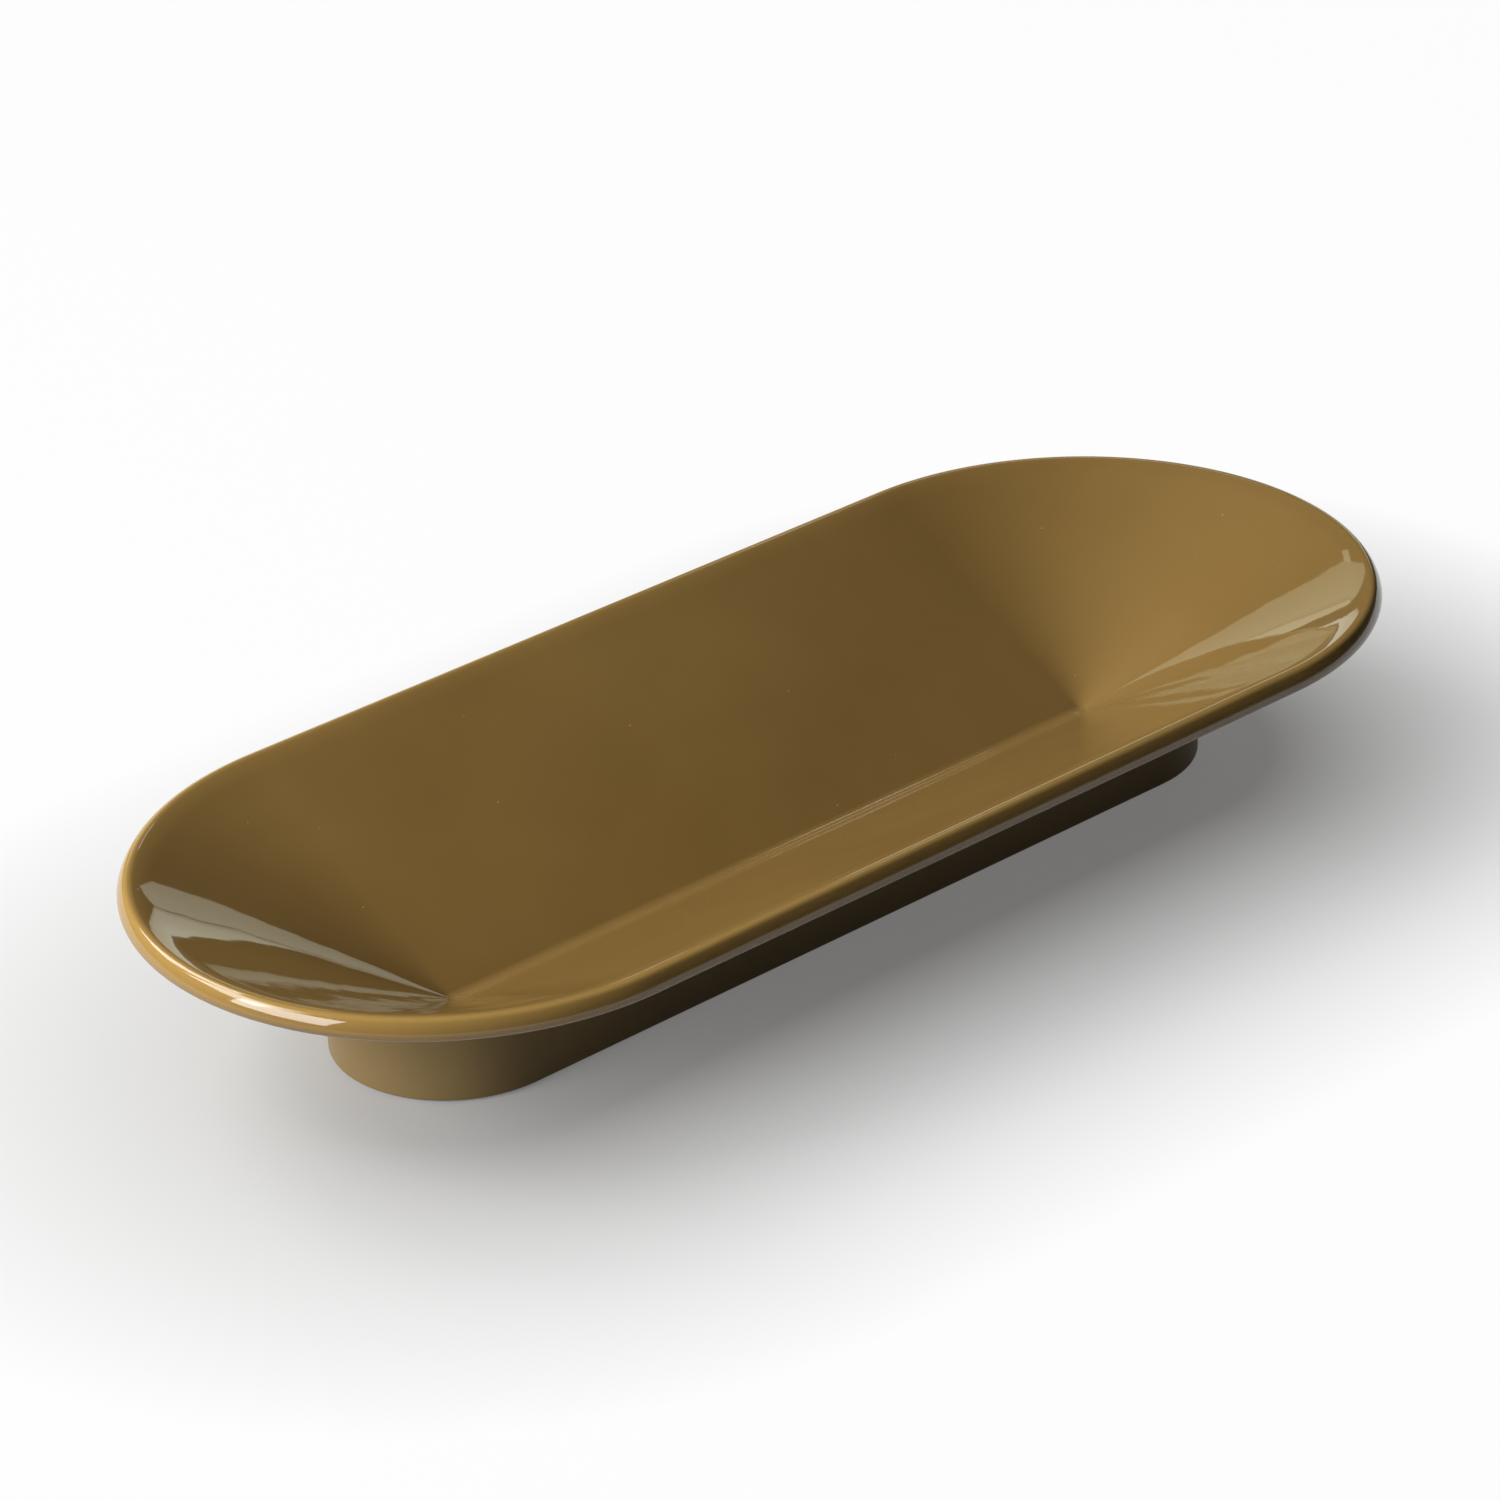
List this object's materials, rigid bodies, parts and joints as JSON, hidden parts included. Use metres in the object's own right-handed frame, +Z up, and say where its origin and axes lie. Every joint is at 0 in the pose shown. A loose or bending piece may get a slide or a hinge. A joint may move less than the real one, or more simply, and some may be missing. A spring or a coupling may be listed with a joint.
{
  "type": "olive dish",
  "caption": "Long pill-shaped footed dish with a V-shaped trough and half-cone ends, in glossy olive-brown lacquer, for serving olives, nuts or bread.",
  "frame": {"origin": "on the table, under the middle of the dish", "axes": "+X along the dish's length, +Y across it, +Z up"},
  "size_m": [0.5208, 0.2204, 0.07],
  "materials": {
    "gloss_lacquer": "high-gloss olive-brown lacquer on wood fibre",
    "satin_lacquer": "satin olive-brown lacquer on wood fibre",
    "screw_steel": "zinc-plated",
    "bumper_rubber": "dark moulded rubber"
  },
  "bodies": {
    "root": {"bowl": "gloss_lacquer", "foot": "satin_lacquer", "screw_front_left": "screw_steel", "screw_front_right": "screw_steel", "screw_back_left": "screw_steel", "screw_back_right": "screw_steel", "bumper_front_left": "bumper_rubber", "bumper_front_right": "bumper_rubber", "bumper_back_left": "bumper_rubber", "bumper_back_right": "bumper_rubber"}
  },
  "joints": []
}
